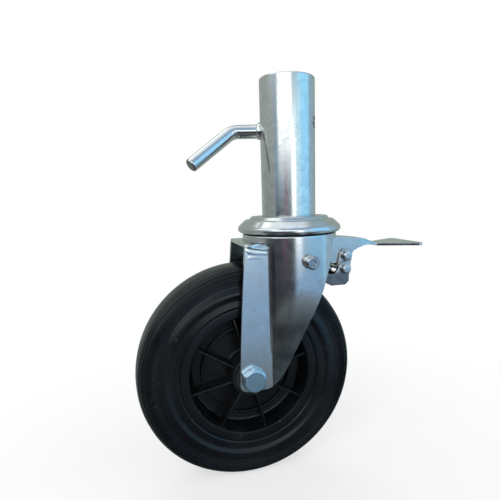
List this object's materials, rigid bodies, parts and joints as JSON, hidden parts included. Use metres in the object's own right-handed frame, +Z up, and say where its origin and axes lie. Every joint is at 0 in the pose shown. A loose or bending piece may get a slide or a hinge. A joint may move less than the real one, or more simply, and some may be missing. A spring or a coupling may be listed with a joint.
{
  "type": "scaffold castor",
  "caption": "Braked swivel castor for scaffolding: plated tube stem with a bent locking rod, pressed fork, rubber tyred wheel and foot pedal brake.",
  "frame": {"origin": "swivel axis at the top of the head cover", "axes": "+Z up the stem, the wheel trails to -X, axle along Y, pedal to +X"},
  "size_m": [0.2715, 0.1013, 0.3568],
  "materials": {
    "plated_tube": "bright zinc plated, slightly mottled",
    "plated_pressing": "bright zinc plated pressing",
    "plated_turned": "bright zinc plated, turned",
    "bearing_steel": "polished bearing steel",
    "cage_steel": "plain pressed steel",
    "spring_steel": "drawn spring wire",
    "black_plastic": "moulded black plastic, satin",
    "washer_plastic": "moulded black plastic",
    "black_rubber": "moulded black rubber with a dull sheen",
    "seal_rubber": "black rubber"
  },
  "bodies": {
    "stem": {"stem_tube": "plated_tube", "locking_rod": "plated_tube", "head_cover": "plated_pressing", "race_plate": "plated_turned", "king_pin": "plated_turned", "lower_race": "plated_turned"},
    "fork_body": {"fork": "plated_pressing", "swivel_seal": "seal_rubber", "pedal_bracket": "plated_pressing", "pedal_pivot_pin": "plated_turned", "pedal_spring": "spring_steel", "cross_pin": "plated_turned", "cross_pin_collar": "plated_turned", "pivot_spacers": "plated_turned", "axle_bolt": "plated_turned", "axle_nut": "plated_turned", "axle_washer": "plated_turned", "axle_sleeve": "plated_turned", "hub_washers": "washer_plastic"},
    "wheel": {"wheel_rim": "black_plastic", "tyre": "black_rubber"},
    "roller_set": {"roller_cage": "cage_steel", "bearing_rollers": "bearing_steel"},
    "upper_ball_set": {"upper_balls": "bearing_steel"},
    "lower_ball_set": {"lower_balls": "bearing_steel"},
    "pedal": {"brake_pedal": "plated_pressing", "upper_rivet": "plated_turned"},
    "lever": {"brake_lever": "plated_pressing", "lower_rivet": "plated_turned"},
    "links": {"brake_links": "plated_pressing"}
  },
  "joints": [
    {"name": "swivel", "type": "hinge", "parent": "stem", "child": "fork_body", "pos_m": [0, 0, 0], "axis": [0, 0, 1], "continuous": true},
    {"name": "wheel_spin", "type": "hinge", "parent": "fork_body", "child": "wheel", "pos_m": [-0.0455, 0, -0.14], "axis": [0, 1, 0], "continuous": true},
    {"name": "roller_orbit", "type": "hinge", "parent": "fork_body", "child": "roller_set", "pos_m": [-0.0455, 0, -0.14], "axis": [0, 1, 0], "continuous": true},
    {"name": "upper_ball_orbit", "type": "hinge", "parent": "stem", "child": "upper_ball_set", "pos_m": [0, 0, -0.0123], "axis": [0, 0, 1], "continuous": true},
    {"name": "lower_ball_orbit", "type": "hinge", "parent": "stem", "child": "lower_ball_set", "pos_m": [0, 0, -0.0198], "axis": [0, 0, 1], "continuous": true},
    {"name": "pedal_hinge", "type": "hinge", "parent": "fork_body", "child": "pedal", "pos_m": [0.031, 0, -0.029], "axis": [0, 1, 0], "range_deg": [0, 30]},
    {"name": "lever_hinge", "type": "hinge", "parent": "fork_body", "child": "lever", "pos_m": [0.003, 0, -0.037], "axis": [0, 1, 0], "range_deg": [0, 11.73]},
    {"name": "link_hinge", "type": "hinge", "parent": "lever", "child": "links", "pos_m": [0.0468, 0, -0.0491], "axis": [0, 1, 0], "range_deg": [-26.55, 0]}
  ],
  "couplings": [
    {"joint": "upper_ball_orbit", "follows": "swivel", "ratio": 0.5},
    {"joint": "lower_ball_orbit", "follows": "swivel", "ratio": 0.5},
    {"joint": "roller_orbit", "follows": "wheel_spin", "ratio": 0.608},
    {"joint": "lever_hinge", "follows": "pedal_hinge", "ratio": 0.391},
    {"joint": "link_hinge", "follows": "pedal_hinge", "ratio": -0.885}
  ]
}
